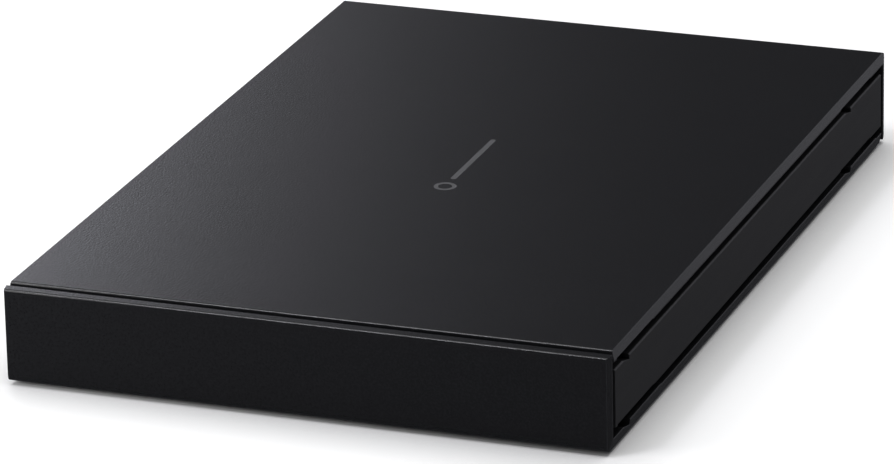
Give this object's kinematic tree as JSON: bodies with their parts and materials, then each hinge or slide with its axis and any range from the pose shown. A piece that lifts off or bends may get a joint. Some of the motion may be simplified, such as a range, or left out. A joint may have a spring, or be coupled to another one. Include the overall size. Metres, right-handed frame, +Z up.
{
  "type": "portable external hard drive",
  "caption": "Slim portable external hard drive: folded top and bottom covers over an inner frame, with shadow grooves along the sides and a data socket at the rear end.",
  "frame": {"origin": "under the middle of the case, at the soles of the rubber feet", "axes": "+X right, +Y along the case towards the end with the data socket, +Z up out of the top cover"},
  "size_m": [0.076, 0.1134, 0.0126],
  "materials": {
    "cover_plastic": "fine textured, matte black",
    "frame_plastic": "smooth satin black",
    "print_ink": "mid-grey pad print",
    "foot_rubber": "matte",
    "pad_foam": "soft closed foam",
    "lamp_clear": "frosted clear",
    "board_green": "solder resist",
    "screw_steel": "plated",
    "socket_steel": "pressed stainless",
    "socket_nylon": "moulded",
    "contact_gold": "gold flash",
    "chip_black": "moulded epoxy",
    "part_ceramic": "fired body with tinned ends",
    "lamp_white": "clear resin",
    "cast_aluminium": "die-cast and machined",
    "lid_steel": "stainless sheet",
    "hub_aluminium": "turned",
    "magnet_nickel": "nickel plated",
    "winding_copper": "enamelled copper",
    "core_steel": "laminated",
    "platter_mirror": "polished",
    "spring_steel": "thin stainless",
    "slider_ceramic": "dark ceramic",
    "ramp_polymer": "natural acetal",
    "flex_amber": "polyimide film",
    "filter_white": "felt"
  },
  "bodies": {
    "case": {"top_cover": "cover_plastic", "bottom_cover": "cover_plastic", "inner_frame": "frame_plastic", "printed_mark": "print_ink", "rubber_feet": "foot_rubber", "damper_pads": "pad_foam", "light_pipe": "lamp_clear", "bridge_board": "board_green", "board_screws": "screw_steel", "usb_socket_shell": "socket_steel", "usb_socket_tongue": "socket_nylon", "usb_socket_contacts": "contact_gold", "drive_socket": "socket_nylon", "drive_socket_contacts": "contact_gold", "bridge_chip": "chip_black", "board_crystal": "screw_steel", "status_lamp": "lamp_white", "board_small_parts": "part_ceramic", "drive_base": "cast_aluminium", "lid_gasket": "foot_rubber", "drive_lid": "lid_steel", "lid_screws": "screw_steel", "spindle_shaft": "screw_steel", "stator_core": "core_steel", "stator_coils": "winding_copper", "pivot_shaft": "screw_steel", "lower_yoke": "magnet_nickel", "upper_yoke": "magnet_nickel", "coil_magnets": "magnet_nickel", "crash_stops": "foot_rubber", "load_ramp": "ramp_polymer", "flex_cable": "flex_amber", "flex_bracket": "socket_nylon", "recirculation_filter": "filter_white", "desiccant_pack": "filter_white", "drive_board": "board_green", "drive_chips": "chip_black", "insulator_sheet": "pad_foam", "drive_plug": "socket_nylon"},
    "spindle": {"spindle_hub": "hub_aluminium", "rotor_magnet": "magnet_nickel", "platter_lower": "platter_mirror", "platter_spacer": "hub_aluminium", "platter_upper": "platter_mirror", "disc_clamp": "lid_steel", "clamp_screws": "screw_steel"},
    "actuator": {"actuator_arm": "cast_aluminium", "pivot_sleeve": "screw_steel", "voice_coil": "winding_copper", "suspensions": "spring_steel", "head_sliders": "slider_ceramic"}
  },
  "joints": [
    {"name": "spindle_spin", "type": "hinge", "parent": "case", "child": "spindle", "pos_m": [0, -0.01765, 0.007], "axis": [0, 0, 1], "continuous": true},
    {"name": "actuator_swing", "type": "hinge", "parent": "case", "child": "actuator", "pos_m": [0.014, 0.01929, 0.007], "axis": [0, 0, 1], "range_deg": [0, 34]}
  ]
}
